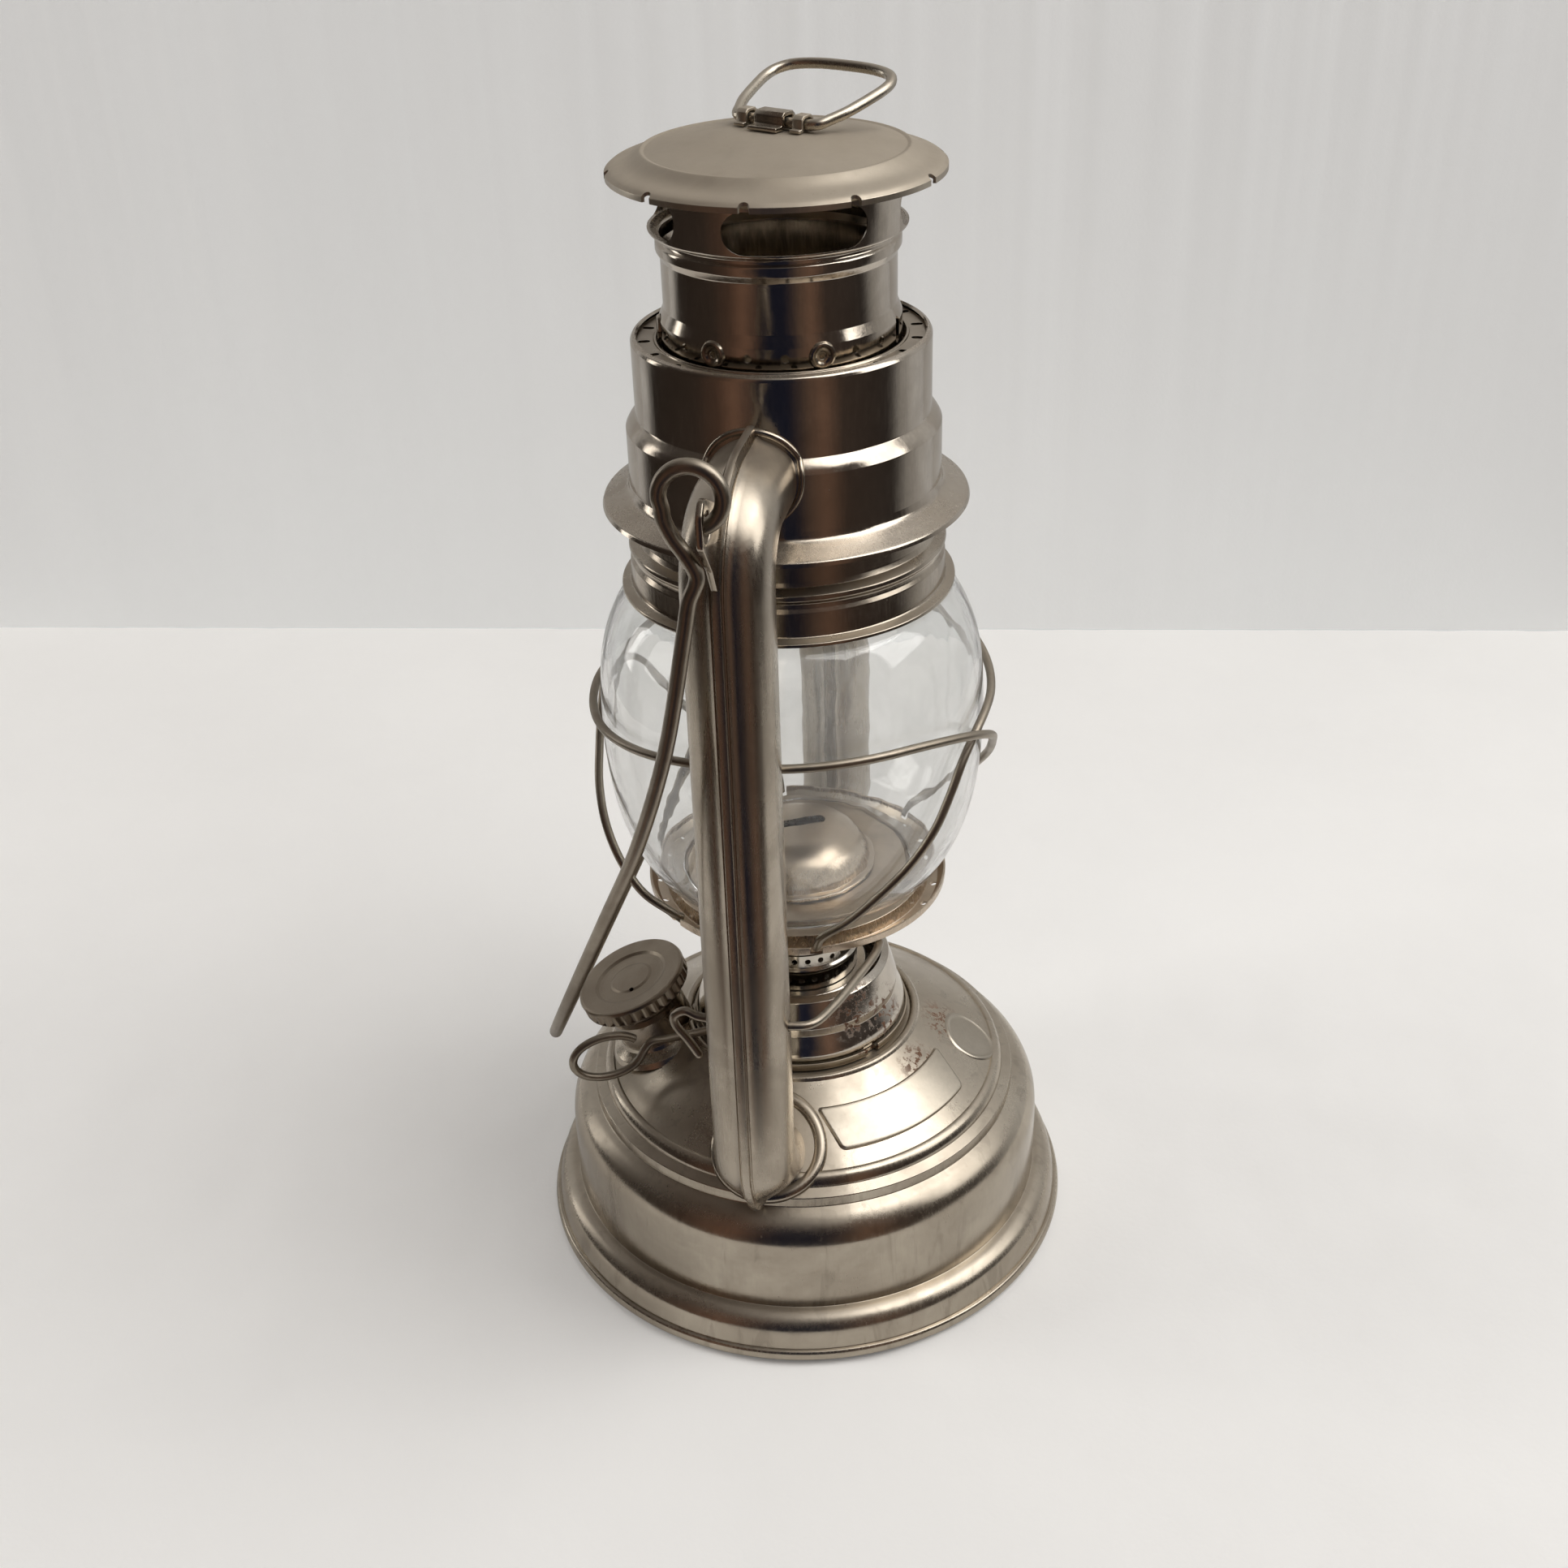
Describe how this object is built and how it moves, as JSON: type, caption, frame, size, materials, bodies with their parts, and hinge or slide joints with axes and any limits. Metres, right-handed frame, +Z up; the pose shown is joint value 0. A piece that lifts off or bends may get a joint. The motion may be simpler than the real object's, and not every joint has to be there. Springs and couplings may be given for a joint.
{
  "type": "kerosene hurricane lantern",
  "caption": "Tubular kerosene lantern with a tin tank, side air tubes, a bulged glass globe in crossed guard wires, a vented chimney with a lifting ring, and a wire bail.",
  "frame": {"origin": "centre of the foot rim, on the plane the lantern stands on", "axes": "+Z up through the burner and chimney; the two side tubes stand in the YZ plane, the front one towards -Y; the bail hangs towards -X"},
  "size_m": [0.135, 0.1528, 0.2833],
  "materials": {
    "tin": "tinned sheet, worn satin",
    "dark": "tinned sheet, stained",
    "bright": "bright tinned sheet",
    "wire": "drawn wire, dulled",
    "cotton": "woven cotton",
    "cork": "pressed cork",
    "glass": "clear blown glass"
  },
  "bodies": {
    "frame": {"tank_shell": "tin", "tank_pan": "dark", "filler_neck": "tin", "burner_base": "dark", "burner_cup": "bright", "burner_housing": "bright", "air_screen": "bright", "wick_tube": "bright", "side_tube_front": "tin", "side_tube_back": "tin", "bail_ear_front": "tin", "bail_ear_back": "tin", "hood_shell": "tin", "hood_deck": "tin", "chimney_spring": "wire"},
    "globe_unit": {"globe_plate": "tin", "burner_cone": "bright", "globe": "glass", "guard_wire_front": "wire", "guard_wire_back": "wire"},
    "chimney_unit": {"globe_collar": "tin", "chimney_tube": "tin", "chimney_cap": "tin", "ring_strap": "tin"},
    "ring": {"lifting_ring": "wire"},
    "lever": {"lift_lever": "wire"},
    "wick_drive": {"wick_shaft": "wire", "wick_wheel_outer": "dark", "wick_wheel_inner": "dark"},
    "wick_strip": {"wick": "cotton"},
    "cap_seal": {"filler_gasket": "cork"},
    "cap": {"filler_cap": "tin"},
    "bail": {"bail": "wire"}
  },
  "joints": [
    {"name": "globe_lift", "type": "slide", "parent": "frame", "child": "globe_unit", "axis": [0, 0, 1], "range_m": [0, 0.0058]},
    {"name": "chimney_lift", "type": "slide", "parent": "globe_unit", "child": "chimney_unit", "axis": [0, 0, 1], "range_m": [0, 0.005], "stiffness_N_per_m": 250, "springref_m": -0.008, "deforming": ["chimney_spring"]},
    {"name": "ring_swing", "type": "hinge", "parent": "chimney_unit", "child": "ring", "pos_m": [0, 0, 0.2757], "axis": [0.9026, -0.4305, 0], "range_deg": [0, 160]},
    {"name": "lever_tilt", "type": "hinge", "parent": "frame", "child": "lever", "pos_m": [0, -0.0572, 0.0956], "axis": [1, 0, 0], "range_deg": [0, 9.7]},
    {"name": "wick_turn", "type": "hinge", "parent": "frame", "child": "wick_drive", "pos_m": [0.0034, -0.00634, 0.0606], "axis": [0.8813, 0.4726, 0], "range_deg": [-116, 77]},
    {"name": "wick_slide", "type": "slide", "parent": "frame", "child": "wick_strip", "axis": [0, 0, 1], "range_m": [-0.012, 0.008]},
    {"name": "cap_rise", "type": "slide", "parent": "frame", "child": "cap_seal", "axis": [-0.3281, -0.0966, 0.9397], "range_m": [0, 0.0031]},
    {"name": "cap_turn", "type": "hinge", "parent": "cap_seal", "child": "cap", "pos_m": [-0.03511, -0.01033, 0.05204], "axis": [-0.3281, -0.0966, 0.9397], "range_deg": [0, 720]},
    {"name": "bail_swing", "type": "hinge", "parent": "frame", "child": "bail", "pos_m": [-0.00215, 0, 0.2259], "axis": [0, 1, 0], "range_deg": [0, 270]}
  ],
  "couplings": [
    {"joint": "lever_tilt", "follows": "globe_lift", "rad_per_m": 29},
    {"joint": "wick_slide", "follows": "wick_turn", "m_per_rad": 0.0059},
    {"joint": "cap_rise", "follows": "cap_turn", "m_per_rad": 0.00023873}
  ]
}
